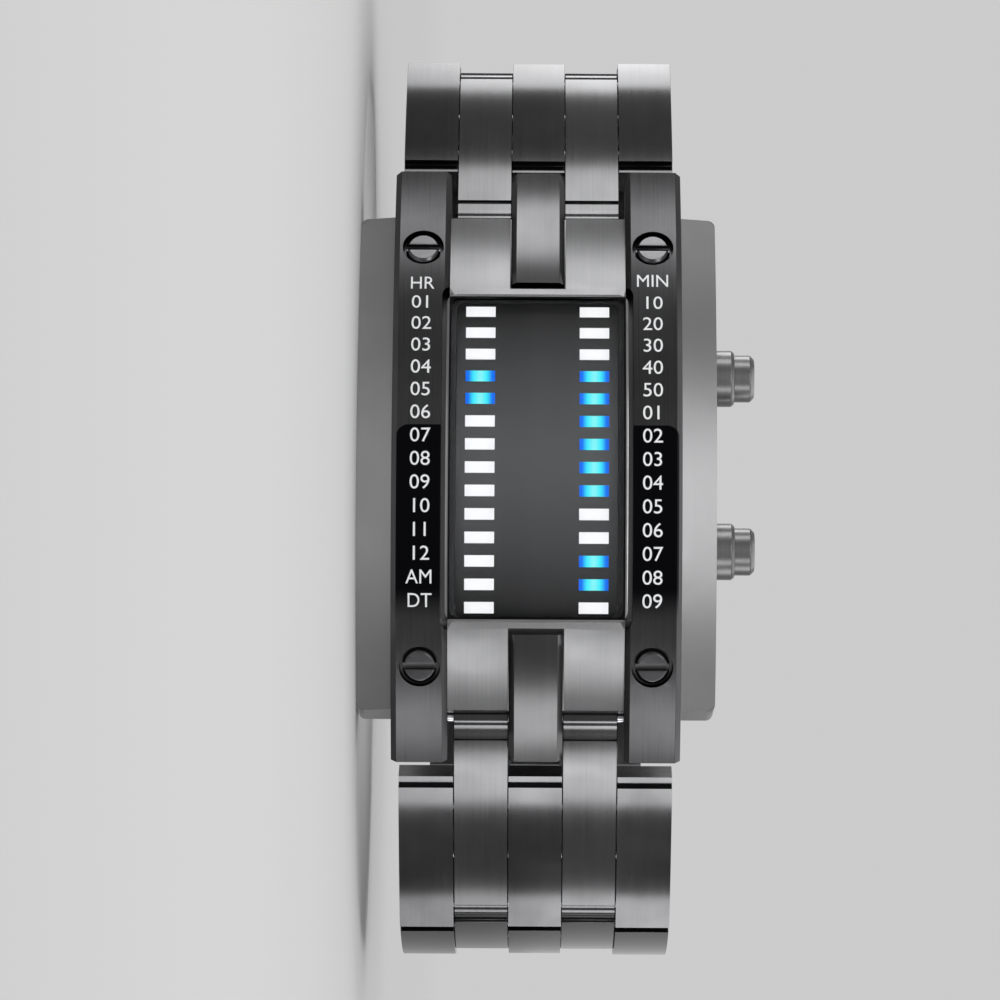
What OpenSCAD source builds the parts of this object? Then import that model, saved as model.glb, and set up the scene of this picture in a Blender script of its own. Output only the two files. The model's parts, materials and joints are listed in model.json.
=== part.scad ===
// A bracelet watch whose time is read from two columns of lights, lying on the left side of its case.
// +Z points to 3 o'clock (the pushers), the face looks along -Y, and 6 o'clock is at +X.
// Every hinge axis runs along Z. Lengths are in millimetres and angles in degrees.

/* [Case] */
// Radius of the curved tops of the two number rails
case_r = 50; // [48:0.5:54]
// Width of the case from 9 to 3 o'clock, without the pushers
case_w = 34; // [33.6:0.1:35]
// Half length of the case body from its middle towards 12 or 6 o'clock
case_half_l = 23.8; // [23.2:0.1:24.2]
// How far the wings beside the rails lie below the rail tops
wing_drop = 1.4; // [1:0.1:1.8]
// How far the wings fall from the rails to the sides of the case
wing_fall = 0.9; // [0.4:0.1:1.2]
// How far the sloping columns lie below the rail tops where they meet the display
slope_drop = 0.5; // [0.4:0.1:0.8]
// Radius of the sloping columns above and below the display
slope_r = 38; // [37:1:50]
// How far the hollow wrist side of the case ends lies below the rail tops
ring_drop = 8; // [7.8:0.1:8.6]
// Depth of the flat wrist side of the case below the middle of the rail tops
case_d = 10.4; // [10.2:0.1:10.8]
// Corner radius of the case seen from the front
case_corner = 0.7; // [0.6:0.1:2]

/* [Rails and strips] */
// Half distance between the outer sides of the two rails
rail_out = 13.7; // [13.5:0.1:14]
// Half distance between the inner sides of the two rails
rail_in = 8.35; // [8.3:0.05:8.5]
// Half distance between the rails where they pass the display
rail_in_mid = 9.05; // [9:0.05:9.3]
// Thickness of a rail or strip where it lies on the case
rail_t = 2; // [1.8:0.1:2.2]
// Angle by which a rail reaches past its lug pin
rail_reach = 3; // [2.8:0.1:3.6]
// Half width of the two centre strips
strip_half_w = 2.55; // [2.35:0.05:2.55]
// How far the centre strips lie below the rail tops
strip_drop = 0.2; // [0.1:0.1:0.4]
// Gap between the display bezel and the near end of a centre strip
strip_gap = 1.24; // [1.1:0.02:1.7]
// Diameter of the rail screw heads
screw_d = 3.3; // [3:0.1:3.4]
// Width of the dark ring round the head of a rail screw
screw_ring = 0.3; // [0.1:0.05:0.4]
// Angle from the middle of the case to a rail screw
screw_angle = 23.8; // [22.5:0.1:25]
// Distance of a rail screw from the middle of the case towards 3 or 9 o'clock
screw_off = 10.95; // [10.8:0.05:11.2]

/* [Display] */
// How far the display sits from the middle of the case towards 6 o'clock
display_x = 0.4; // [0:0.1:0.5]
// Half length of the display bezel
bezel_half_l = 15.7; // [15.5:0.1:15.8]
// Half width of the display bezel
bezel_half_w = 8.6; // [8.5:0.05:8.7]
// Width of the bezel's rim
bezel_rim = 0.4; // [0.4:0.05:0.6]
// Corner radius of the bezel
bezel_corner = 1.0; // [1:0.1:1.5]
// Thickness of the crystal
crystal_t = 1.75; // [1.5:0.05:1.8]
// Number of lights in each column
lights = 14; // [10:1:14]
// Distance from one light to the next along the column
light_pitch = 2.2; // [2:0.02:2.2]
// Length of a light across the watch
light_w = 2.8; // [2.2:0.1:3]
// Height of a light along the column
light_h = 1.08; // [0.8:0.02:1.3]
// Distance of each column of lights from the middle of the display
light_off = 5.4; // [4:0.1:5.6]

/* [Module] */
// Thickness of the circuit board
board_t = 0.8; // [0.6:0.1:1]
// Half length of the circuit board
board_half_l = 14; // [13.4:0.1:14.1]
// Diameter of each battery cell
cell_d = 20; // [16:1:20]
// Thickness of each battery cell
cell_t = 1.6; // [1.2:0.1:1.6]

/* [Case back] */
// Thickness of the case back
back_t = 1; // [0.8:0.1:1.4]
// Half length of the case back
back_half_l = 17.2; // [17:0.1:17.5]
// Half width of the case back
back_half_w = 14.8; // [14.7:0.1:15.2]
// Head diameter of the case back screws
back_screw_d = 2.4; // [1.8:0.1:2.6]

/* [Pushers] */
// Distance of each pusher from the middle of the display
pusher_off = 8.35; // [7.6:0.05:8.8]
// Outer diameter of the pusher collars
collar_d = 5.36; // [5.2:0.02:5.5]
// Height of the collars above the case side
collar_h = 1.75; // [1.5:0.05:2.2]
// Diameter of the pusher caps
cap_d = 4.47; // [4.3:0.01:4.6]
// Height of the caps above the collars
cap_h = 1.9; // [1.5:0.1:2.4]
// Travel of the pushers
pusher_travel = 1; // [0.5:0.1:1.1]

/* [Bracelet] */
// Distance between the two hinge pins of a link
link_pitch = 20.3; // [19.8:0.1:21]
// Radius of the curve through the pins along which a link bends
link_r = 46; // [44:1:60]
// Height of the outer columns above the line of the pins
outer_rise = 2; // [1.8:0.1:2.2]
// Height of the inner columns above the line of the pins
inner_rise = 1.45; // [1.4:0.05:1.7]
// Depth of the links below the line of the pins
link_sink = 1.5; // [1.5:0.05:1.8]
// Near side of the outer columns from the middle of the bracelet
outer_from = 7.85; // [7.85:0.05:8.1]
// Far side of the outer columns
outer_to = 13.05; // [12.8:0.05:13.3]
// Near side of the inner columns
inner_from = 2.6; // [2.6:0.05:2.8]
// Far side of the inner columns
inner_to = 7.8; // [7.5:0.05:7.85]
// Diameter of the hinge pins
pin_d = 1.2; // [1:0.05:1.3]
// Radius of the rounded nose that turns on a hinge pin
nose_r = 1.3; // [1.2:0.05:1.35]

/* [Loop] */
// Slope of the first link from the plane of the face
slope_1 = 35.1; // [33:0.5:37]
// Slope of the second link
slope_2 = 86; // [84:0.5:87]
// Slope of the third link
slope_3 = 145; // [143:0.5:147]
// Distance of the lug pins below the rail tops
lug_drop = 4.8; // [4.6:0.1:5]
// Distance of the lug pins beyond the ends of the case body
lug_reach = 0.15; // [0.1:0.05:0.2]

/* [Clasp] */
// Radius of the clasp's curve through its pins
clasp_r = 75; // [70:1:85]
// Half width of the clasp cover
cover_half_w = 11; // [10.6:0.1:11.6]
// Thickness of the cover
cover_t = 1.1; // [0.9:0.1:1.4]
// Thickness of the two folding blades
blade_t = 0.9; // [0.7:0.05:1]
// Half width of the folding blades
blade_half_w = 9.2; // [8.8:0.1:9.3]
// Angle from the middle of the clasp to each end of the folded outer blade
fold_angle = 13; // [12:0.5:14]
// Diameter of the two release buttons
button_d = 2.6; // [2.2:0.1:2.7]
// Travel of the release buttons
button_travel = 0.7; // [0.4:0.1:0.8]

/* [Hidden] */
$fn = 96;

mid_z = case_w / 2;
run_gap = 0.03;
side_gap = 0.1;

// The bracelet's hinge pins, as [distance from the middle, depth below the rail tops]
function along(p, slope) = [p[0] + link_pitch * cos(slope), p[1] + link_pitch * sin(slope)];
lug_r = case_r - lug_drop;
lug_angle = asin((case_half_l + lug_reach) / lug_r);
lug_p = [lug_r * sin(lug_angle), case_r - lug_r * cos(lug_angle)];
rail_angle = lug_angle + rail_reach;
pin_p1 = along(lug_p, slope_1);
pin_p2 = along(pin_p1, slope_2);
pin_p3 = along(pin_p2, slope_3);

// The clasp's arc through the last pins of both strands
clasp_half = asin(pin_p3[0] / clasp_r);
cover_in = 1.55;
loop_depth = pin_p3[1] + clasp_r * (1 - cos(clasp_half)) + cover_in + cover_t;
case_y = case_r - loop_depth / 2;
face_y = -loop_depth / 2;
clasp_y = face_y + pin_p3[1] - clasp_r * cos(clasp_half);
link_half = asin(link_pitch / 2 / link_r);
link_arc_y = link_r * cos(link_half);

steel = [0.30, 0.31, 0.33];
bright_steel = [0.46, 0.47, 0.50];
dark_steel = [0.16, 0.16, 0.18];
rubber = [0.06, 0.06, 0.07];
brass = [0.72, 0.60, 0.32];

// Rectangle of the given bounds with chamfers at its high x side
module section(r0, r1, z0, z1, e) {
  if (e > 0) polygon([[r0, z0], [r1 - e, z0], [r1, z0 + e], [r1, z1 - e], [r1 - e, z1], [r0, z1]]);
  else translate([r0, z0]) square([r1 - r0, z1 - z0]);
}

// Part of a ring about the Z axis between two radii, two heights and two angles from -Y
module arc_bar(r0, r1, z0, z1, a0, a1, e = 0) {
  far = 3 * r1;
  intersection() {
    rotate_extrude($fn = 360) section(r0, r1, z0, z1, e);
    translate([0, 0, z0 - 1]) linear_extrude(z1 - z0 + 2)
      polygon([[0, 0], [far * sin(a0), -far * cos(a0)], [far * sin(a1), -far * cos(a1)]]);
  }
}

module ring_tube(r0, r1, z0, z1) {
  translate([0, 0, z0]) difference() {
    cylinder(r = r1, h = z1 - z0, $fn = 360);
    translate([0, 0, -1]) cylinder(r = r0, h = z1 - z0 + 2, $fn = 360);
  }
}

module rounded_rect(hx, hy, r) {
  square([2 * hx, 2 * (hy - r)], center = true);
  square([2 * (hx - r), 2 * hy], center = true);
  for (x = [-1, 1]) for (y = [-1, 1]) translate([x * (hx - r), y * (hy - r)]) circle(r = r);
}

// Rounded plate seen from the front, between two depths below the rail tops
module plate(hx, hz, r, d0, d1, x = 0) {
  translate([x, face_y + d1, mid_z]) rotate([90, 0, 0]) linear_extrude(d1 - d0) rounded_rect(hx, hz, r);
}

module case_ring(r0, r1, z0, z1, a0, a1, e = 0) {
  translate([0, case_y, mid_z]) arc_bar(r0, r1, z0, z1, a0, a1, e);
}

// Plate of the display whose front and back follow the case's curve at two drops below the rail tops
module display_plate(hx, hz, r, drop0, drop1) {
  intersection() {
    plate(hx, hz, r, -1, case_d, display_x);
    translate([0, case_y, 0]) ring_tube(case_r - drop1, case_r - drop0, 0, case_w);
  }
}

// Places children on the case's curve, with their +Z pointing out of it
module on_case(a, r, z) {
  translate([0, case_y, z]) rotate([0, 0, a]) translate([0, -r, 0]) rotate([90, 0, 0]) children();
}

display_turn = asin(display_x / case_r);
function fall(r, x) = r - sqrt(r * r - x * x);
slope_top = slope_drop + fall(case_r, bezel_half_l) - fall(slope_r, bezel_half_l);
// Angles at which the centre strips begin above and below the display
function strip_start(s) = s * asin((bezel_half_l + strip_gap) / case_r) + display_turn;

// Depths inside the case
seat_drop = rail_t;
glass_drop = 0.55;
crystal_seal_t = 0.5;
ledge_drop = glass_drop + crystal_t + crystal_seal_t;
mask_top = glass_drop + crystal_t + 0.05;
board_d = mask_top + 3;
holder_d = board_d + board_t + 0.1;
cell_d0 = holder_d + 0.35;
contact_d = cell_d0 + 2 * cell_t + 0.05;
contact_half_l = 12;
cavity_l = 14.5;
side_wall = 4.9;
cavity_w = mid_z - side_wall;
board_half_w = cavity_w - 2.4;
cavity_corner = 3.4;
window_l = bezel_half_l - 0.7;
window_w = bezel_half_w - 0.9;
gasket_w = 0.7;
gasket_t = 0.6;
back_screw_x = back_half_l - 1.8;
back_screw_z = back_half_w - 1.8;
back_corner = 2.2;
screw_core = 0.8;
back_screw_core = 0.5;
screw_head_t = 0.9;
screw_length = 3.6;
eye_r = nose_r + 0.2;
channel_l = 4 * eye_r;
ring_angle = asin(case_half_l / (case_r - ring_drop)) + 1;

// Pusher heights above the 9 o'clock side
pusher_d = 6.6;
cavity_wall = mid_z + cavity_w;
tube_bottom = cavity_wall + 1.3;
cup_floor = case_w - 1.1;
cap_bottom = cup_floor + pusher_travel + 0.5;
collar_top = case_w + collar_h;
cap_top = collar_top + cap_h;
stem_r = 0.7;
stem_end = mid_z + board_half_w + 0.3 + pusher_travel;
seal_t = 0.9;
seal_r = 1.45;
clip_t = 0.4;
clip_r = 1.25;

function pusher_x(x) = x * pusher_off + display_x;

module pusher_place(x) {
  translate([pusher_x(x), face_y + pusher_d, 0]) children();
}

module case_body() color(steel) {
  difference() {
    union() {
      intersection() {
        plate(case_half_l, mid_z, case_corner, -1, 3 * case_d);
        union() {
          case_ring(case_r - ring_drop, case_r - wing_drop, -case_w, case_w, -ring_angle, ring_angle);
          translate([-back_half_l - 0.2, face_y + ledge_drop + 2, -1])
            cube([2 * back_half_l + 0.4, case_d - ledge_drop - 2, case_w + 2]);
        }
      }
      intersection() {
        plate(case_half_l - 0.4, rail_in, 0.3, -1, ledge_drop + 6);
        case_ring(case_r - 4, case_r - 0.1, -case_w, case_w, -ring_angle, ring_angle);
      }
    }
    // Tops of the sloping columns and of the wings
    translate([0, face_y + slope_top + slope_r, mid_z]) arc_bar(slope_r, slope_r + 8, -rail_in, rail_in, -60, 60);
    for (s = [0, 1]) translate([0, case_y, mid_z]) mirror([0, 0, s]) rotate_extrude($fn = 360)
      polygon([[case_r - wing_drop, rail_out], [case_r + 2, rail_out], [case_r + 2, case_w],
        [case_r - wing_drop - wing_fall * (case_w - rail_out) / (mid_z - rail_out), case_w]]);
    // Seats of the rails, the strips and the display
    for (s = [-1, 1]) {
      case_ring(case_r - seat_drop, case_r + 1, min(s * rail_in, s * rail_out), max(s * rail_in, s * rail_out),
        -ring_angle, ring_angle);
      case_ring(case_r - seat_drop, case_r + 1, -strip_half_w - side_gap, strip_half_w + side_gap,
        s > 0 ? strip_start(1) - 0.6 : -ring_angle, s > 0 ? ring_angle : strip_start(-1) + 0.6);
      for (t = [-1, 1]) on_case(s * screw_angle, case_r - screw_length, mid_z + t * screw_off)
        cylinder(r = screw_core, h = 8);
      on_case(s * screw_angle, case_r - screw_length, mid_z) cylinder(r = screw_core, h = 8);
    }
    display_plate(bezel_half_l, bezel_half_w, bezel_corner, -1, ledge_drop);
    plate(window_l, window_w, 0.8, -1, board_d, display_x);
    // Channels of the lugs and of the first links' noses
    for (s = [-1, 1]) translate([s * lug_p[0], face_y + lug_p[1], mid_z - rail_out]) {
      cylinder(r = eye_r, h = 2 * rail_out);
      translate([s > 0 ? -eye_r : -channel_l, 0, 0]) cube([eye_r + channel_l, case_d, 2 * rail_out]);
    }
    // Cavity of the module, recess of the case back and groove of its gasket
    plate(cavity_l, cavity_w, cavity_corner, board_d - 0.05, 2 * case_d);
    plate(back_half_l + side_gap, back_half_w + side_gap, back_corner, case_d, 2 * case_d);
    plate(cavity_l + 0.3 + gasket_w, cavity_w + 0.3 + gasket_w, cavity_corner + 0.8, case_d - gasket_t, case_d + 1);
    for (x = [-1, 1]) {
      for (z = [-1, 1]) translate([x * back_screw_x, face_y + case_d + 1, mid_z + z * back_screw_z])
        rotate([90, 0, 0]) cylinder(r = back_screw_core, h = 3.4);
      pusher_place(x) {
        translate([0, 0, tube_bottom]) cylinder(d = collar_d, h = 8);
        translate([0, 0, mid_z]) cylinder(r = stem_r + 0.1, h = case_w);
        translate([0, 0, cavity_wall - pusher_travel - 2 * clip_t])
          cylinder(r = clip_r + 0.15, h = pusher_travel + 2 * clip_t);
      }
    }
  }
}

// The eye of a lug around the pin of the first link
module lug_eye(s, z0, z1) {
  translate([s * lug_p[0], face_y + lug_p[1], mid_z + z0]) cylinder(r = eye_r - 0.05, h = z1 - z0);
}

// A number rail: it lies on the case and reaches past its end as a lug
module rail(side) {
  z_in = side * rail_in;
  z_out = side * rail_out;
  z0 = min(z_in, z_out);
  z1 = max(z_in, z_out);
  difference() {
    union() {
      case_ring(case_r - rail_t, case_r, z0, z1, -rail_angle, rail_angle, 0.5);
      for (s = [-1, 1]) intersection() {
        case_ring(lug_r - 1.9, case_r, z0, z1, s > 0 ? 20 : -rail_angle, s > 0 ? rail_angle : -20, 0.5);
        translate([s > 0 ? case_half_l + 0.1 : -case_half_l - 20.1, -case_r, 0]) cube([20, 2 * case_r, case_w]);
      }
      for (s = [-1, 1]) lug_eye(s, z0, z1);
    }
    for (s = [-1, 1]) {
      translate([s * lug_p[0], face_y + lug_p[1], 0]) cylinder(d = pin_d, h = case_w);
      on_case(s * screw_angle, case_r - screw_length, mid_z + side * screw_off) cylinder(r = screw_core, h = 8);
      on_case(s * screw_angle, case_r - screw_head_t, mid_z + side * screw_off)
        cylinder(d = screw_d + 2 * screw_ring, h = 3);
    }
    display_plate(bezel_half_l + 0.8, rail_in_mid, bezel_corner, -1, rail_t + 0.5);
  }
}

module hour_rail() color(dark_steel) rail(-1);
module minute_rail() color(dark_steel) rail(1);

module rail_screws() color(bright_steel)
  for (s = [-1, 1]) for (t = [-1, 1]) on_case(s * screw_angle, case_r - screw_length, mid_z + t * screw_off)
    difference() {
      union() {
        cylinder(r = screw_core, h = screw_length - screw_head_t + 0.1);
        translate([0, 0, screw_length - screw_head_t]) cylinder(d = screw_d, h = screw_head_t - 0.3);
        translate([0, 0, screw_length - 0.3]) cylinder(d1 = screw_d, d2 = screw_d - 0.6, h = 0.3);
      }
      translate([-0.3, -screw_d, screw_length - 0.55]) cube([0.6, 2 * screw_d, 1]);
    }

// A centre strip between the sloping columns, with a lug between the first link's noses
module centre_strip(s) {
  difference() {
    union() {
      case_ring(case_r - rail_t, case_r - strip_drop, -strip_half_w, strip_half_w,
        s > 0 ? strip_start(1) : -rail_angle, s > 0 ? rail_angle : strip_start(-1), 0.5);
      intersection() {
        case_ring(lug_r - 1.9, case_r - strip_drop, -strip_half_w, strip_half_w,
          s > 0 ? strip_start(1) : -rail_angle, s > 0 ? rail_angle : strip_start(-1), 0.5);
        translate([s > 0 ? case_half_l + 0.1 : -case_half_l - 20.1, -case_r, 0]) cube([20, 2 * case_r, case_w]);
      }
      lug_eye(s, -strip_half_w, strip_half_w);
      on_case(s * screw_angle, case_r - screw_length, mid_z) cylinder(r = screw_core, h = screw_length - 1);
    }
    translate([s * lug_p[0], face_y + lug_p[1], 0]) cylinder(d = pin_d, h = case_w);
  }
}

module upper_centre_strip() color(steel) centre_strip(-1);
module lower_centre_strip() color(steel) centre_strip(1);

module display_bezel() color(bright_steel) difference() {
  display_plate(bezel_half_l, bezel_half_w, bezel_corner, 0.3, ledge_drop - crystal_seal_t);
  plate(bezel_half_l - bezel_rim, bezel_half_w - bezel_rim, bezel_corner - bezel_rim / 2, -2, case_d, display_x);
}

module crystal() color([0.10, 0.11, 0.13, 0.6])
  display_plate(bezel_half_l - bezel_rim, bezel_half_w - bezel_rim, bezel_corner - bezel_rim / 2,
    glass_drop, glass_drop + crystal_t);

module crystal_gasket() color(rubber) difference() {
  display_plate(bezel_half_l, bezel_half_w, bezel_corner, ledge_drop - crystal_seal_t, ledge_drop);
  plate(window_l, window_w, 0.8, -2, case_d, display_x);
}

light_step = light_pitch / (case_r - mask_top) * 180 / PI;
function light_angle(i) = display_turn + (i - (lights - 1) / 2) * light_step;
// Rows that are lit, counted from 12 o'clock: hours on the left, minutes on the right
lit_left = [3, 4];
lit_right = [3, 4, 5, 6, 7, 8, 11, 12];
function is_lit(i, side) = len([for (k = side < 0 ? lit_left : lit_right) if (k == i) k]) > 0;
window_t = 0.5;

module light_block(i, side, t) {
  on_case(light_angle(i), case_r - mask_top - t, mid_z + side * light_off)
    translate([-light_h / 2, -light_w / 2, 0]) cube([light_h, light_w, t]);
}

module display_mask() color([0.05, 0.05, 0.06]) difference() {
  intersection() {
    plate(window_l - 0.05, window_w - 0.05, 0.75, -1, board_d - 0.05, display_x);
    translate([0, case_y, 0]) ring_tube(case_r - 3 * case_d, case_r - mask_top, 0, case_w);
  }
  for (side = [-1, 1]) for (i = [0:lights - 1]) on_case(light_angle(i), case_r - 8, mid_z + side * light_off)
    translate([-light_h / 2, -light_w / 2, 0]) cube([light_h, light_w, 8]);
}

module unlit_windows() color([0.95, 0.95, 0.95])
  for (side = [-1, 1]) for (i = [0:lights - 1]) if (!is_lit(i, side)) light_block(i, side, window_t);

module lit_windows() color([0.10, 0.65, 0.95])
  for (side = [-1, 1]) for (i = [0:lights - 1]) if (is_lit(i, side)) light_block(i, side, window_t);

module circuit_board() color([0.05, 0.30, 0.16]) plate(board_half_l, board_half_w, 1, board_d, board_d + board_t);

// The controller, a timing crystal, capacitors and the two switch contacts
module board_parts() color([0.12, 0.12, 0.13]) {
  d0 = board_d + board_t;
  translate([-13.4, face_y + d0, mid_z - 2.4]) cube([2.8, 0.8, 4.8]);
  translate([11, face_y + d0, mid_z - 3]) cube([1.6, 0.9, 6]);
  for (z = [-8, 6]) translate([-9.6, face_y + d0, mid_z + z]) cube([1.2, 0.3, 2]);
  for (x = [-1, 1]) translate([pusher_x(x) - 0.9, face_y + d0, mid_z + board_half_w - 0.7]) cube([1.8, 0.9, 0.95]);
}

module module_holder() color([0.82, 0.82, 0.78]) difference() {
  plate(cavity_l - 0.15, cavity_w - 0.15, cavity_corner, holder_d, case_d - 0.05);
  translate([0, face_y + holder_d - 1, mid_z]) rotate([-90, 0, 0]) cylinder(d = cell_d + 0.2, h = 2 * case_d);
  translate([-13.6, face_y + holder_d - 1, mid_z - 3.2]) cube([3.2, 2.1, 6.4]);
  translate([10, face_y + holder_d - 1, mid_z - 3.2]) cube([2.8, 2.1, 6.4]);
  for (z = [-8, 6]) translate([-9.8, face_y + holder_d - 1, mid_z + z - 0.2]) cube([1.6, 1.4, 2.4]);
  for (x = [-1, 1]) translate([pusher_x(x) - 2, face_y + holder_d - 1, mid_z + board_half_w - 1])
    cube([4, 3.6, 4]);
  translate([-contact_half_l - 0.2, face_y + contact_d - 0.05, mid_z - 2.2]) cube([2 * contact_half_l + 0.4, 3, 4.4]);
}

module battery_cells() color([0.75, 0.76, 0.78]) for (i = [0, 1])
  translate([0, face_y + cell_d0 + i * cell_t, mid_z]) rotate([-90, 0, 0]) difference() {
    cylinder(d = cell_d, h = cell_t);
    if (i == 1) translate([0, 0, cell_t - 0.15]) difference() {
      cylinder(d = cell_d + 1, h = 1);
      translate([0, 0, -1]) cylinder(d = cell_d - 1.2, h = 3);
    }
  }

module battery_contact() color(brass)
  translate([-contact_half_l, face_y + contact_d - 0.05, mid_z - 2]) cube([2 * contact_half_l, 0.2, 4]);

module back_gasket() color(rubber) difference() {
  plate(cavity_l + 0.3 + gasket_w, cavity_w + 0.3 + gasket_w, cavity_corner + 0.8, case_d - gasket_t, case_d);
  plate(cavity_l + 0.3, cavity_w + 0.3, cavity_corner + 0.1, case_d - 2, case_d + 2);
}

module case_back() color(steel) difference() {
  plate(back_half_l, back_half_w, back_corner - side_gap, case_d, case_d + back_t);
  for (x = [-1, 1]) for (z = [-1, 1]) translate([x * back_screw_x, face_y + case_d + 2, mid_z + z * back_screw_z])
    rotate([90, 0, 0]) {
      cylinder(r = back_screw_core, h = 6);
      cylinder(d = back_screw_d + 0.1, h = 2 - back_t + 0.5);
    }
}

module case_back_screws() color(bright_steel)
  for (x = [-1, 1]) for (z = [-1, 1]) translate([x * back_screw_x, face_y + case_d + back_t, mid_z + z * back_screw_z])
    rotate([90, 0, 0]) difference() {
      union() {
        cylinder(r = back_screw_core, h = back_t + 2);
        cylinder(d = back_screw_d, h = 0.5);
      }
      for (a = [0, 90]) rotate([0, 0, a]) translate([-0.7, -0.15, -0.1]) cube([1.4, 0.3, 0.4]);
    }

module lug_pins() color(bright_steel)
  for (s = [-1, 1]) translate([s * lug_p[0], face_y + lug_p[1], mid_z - rail_out + 0.2])
    cylinder(d = pin_d, h = 2 * rail_out - 0.4);

module pusher_tubes() color(bright_steel) for (x = [-1, 1]) pusher_place(x) difference() {
  union() {
    translate([0, 0, tube_bottom]) cylinder(d = collar_d, h = collar_top - tube_bottom - 0.3);
    translate([0, 0, collar_top - 0.3]) cylinder(d1 = collar_d, d2 = collar_d - 0.5, h = 0.3);
  }
  translate([0, 0, cup_floor]) cylinder(d = cap_d + 2 * run_gap, h = 8);
  translate([0, 0, tube_bottom - 1]) cylinder(r = stem_r + run_gap, h = 8);
  translate([0, 0, tube_bottom - 1]) cylinder(r = seal_r, h = 1 + seal_t);
}

module pusher_seals() color(rubber) for (x = [-1, 1]) pusher_place(x) difference() {
  translate([0, 0, tube_bottom]) cylinder(r = seal_r, h = seal_t);
  translate([0, 0, tube_bottom - 1]) cylinder(r = stem_r + run_gap, h = seal_t + 2);
}

module pusher(x) color(bright_steel) pusher_place(x) {
  translate([0, 0, stem_end]) cylinder(r = stem_r, h = cap_bottom - stem_end + 0.1);
  translate([0, 0, cap_bottom]) cylinder(d = cap_d, h = cap_top - cap_bottom - 0.4);
  translate([0, 0, cap_top - 0.4]) cylinder(d1 = cap_d, d2 = cap_d - 0.8, h = 0.4);
}

module pusher_clip(x) color(bright_steel) pusher_place(x)
  translate([0, 0, cavity_wall - 0.05 - clip_t]) difference() {
    cylinder(r = clip_r, h = clip_t);
    translate([0, 0, -1]) cylinder(r = stem_r, h = 3);
  }

module pusher_spring(x) color(bright_steel) pusher_place(x) translate([0, 0, cup_floor + 0.01]) difference() {
  cylinder(r = 1.9, h = cap_bottom - cup_floor - 0.02);
  translate([0, 0, -1]) cylinder(r = 1.3, h = 4);
}

module upper_pusher() pusher(-1);
module lower_pusher() pusher(1);
module upper_pusher_clip() pusher_clip(-1);
module lower_pusher_clip() pusher_clip(1);
module upper_pusher_spring() pusher_spring(-1);
module lower_pusher_spring() pusher_spring(1);

// One link of the lower strand, drawn along its chord: near pin at 0, far pin at link_pitch,
// outer side towards -Y. Arc positions are lengths along the pin line from the near pin.
link_arc = 2 * link_half * PI / 180 * link_r;
end_reach = 1.5;
seat_slack = 0.3;
nose_gap = 0.12;
shoulder = 0.85;
first_gap = 6.4;
next_gap = 3.1;
inner_near = 1.9;
inner_far = 0.75;
dowel_d = 1;
function arc_angle(s) = s / link_r * 180 / PI - link_half;
function dowel_at(k, i) = k == 1 ? (i == 0 ? 9 : 14.5) : (i == 0 ? 6.5 : 13.5);

module link_frame(k) {
  p = k == 1 ? lug_p : (k == 2 ? pin_p1 : pin_p2);
  slope = k == 1 ? slope_1 : (k == 2 ? slope_2 : slope_3);
  translate([p[0], face_y + p[1], mid_z]) rotate([0, 0, slope]) children();
}

module link_bar(rise, sink, z0, z1, s0, s1) {
  translate([link_pitch / 2, link_arc_y, 0])
    arc_bar(link_r - sink, link_r + rise, z0, z1, arc_angle(s0), arc_angle(s1));
}

module dowel_holes(k) {
  for (i = [0, 1]) translate([link_pitch / 2, link_arc_y, 0]) rotate([0, 0, arc_angle(dowel_at(k, i))])
    translate([0, -link_r, -case_w]) cylinder(d = dowel_d, h = 2 * case_w);
}

// Outer and middle columns: they carry the far pin, or end in a seat that lies over the catch pin
module outer_column(k, rise, z0, z1, open_end) {
  s0 = k == 1 ? first_gap : next_gap;
  difference() {
    union() {
      link_bar(rise, 0.1, z0, z1, s0, link_arc + end_reach);
      link_bar(rise - 0.7, link_sink, z0, z1, s0 - shoulder, link_arc);
      translate([link_pitch, 0, z0]) cylinder(r = link_sink - 0.05, h = z1 - z0);
    }
    translate([link_pitch, 0, -case_w]) cylinder(d = open_end ? pin_d + 0.3 : pin_d, h = 2 * case_w);
    if (open_end) translate([link_pitch - pin_d / 2 - seat_slack, 0, -case_w])
      cube([4 * nose_r, 4 * nose_r, 2 * case_w]);
    dowel_holes(k);
  }
}

module link_outer(k, open_end) color(dark_steel) link_frame(k) {
  outer_column(k, outer_rise, -outer_to, -outer_from, open_end);
  outer_column(k, outer_rise - 0.1, -strip_half_w, strip_half_w, open_end);
  outer_column(k, outer_rise, outer_from, outer_to, open_end);
}

// Inner columns: their noses turn on the near pin
module inner_column(k, z0, z1, open_end) {
  difference() {
    union() {
      link_bar(inner_rise, link_sink, z0, z1, inner_near, link_arc - inner_far);
      link_bar(nose_r - 0.15, nose_r - 0.15, z0, z1, 0, inner_near + 0.1);
      translate([0, 0, z0]) cylinder(r = nose_r, h = z1 - z0);
    }
    translate([0, 0, -case_w]) cylinder(d = pin_d + 2 * run_gap, h = 2 * case_w);
    translate([link_pitch, 0, -case_w]) cylinder(r = nose_r + nose_gap, h = 2 * case_w);
    if (open_end) translate([link_pitch - nose_r - seat_slack, 0, -case_w])
      cube([4 * nose_r, 4 * nose_r, 2 * case_w]);
    dowel_holes(k);
  }
}

module link_inner(k, open_end) color(steel) link_frame(k) {
  inner_column(k, -inner_to, -inner_from, open_end);
  inner_column(k, inner_from, inner_to, open_end);
}

module link_pins(k, far_pin) color(bright_steel) link_frame(k) {
  for (i = [0, 1]) translate([link_pitch / 2, link_arc_y, 0]) rotate([0, 0, arc_angle(dowel_at(k, i))])
    translate([0, -link_r, -outer_to + 0.2]) cylinder(d = dowel_d, h = 2 * outer_to - 0.4);
  if (far_pin) translate([link_pitch, 0, -outer_to + 0.2]) cylinder(d = pin_d, h = 2 * outer_to - 0.4);
}

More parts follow.
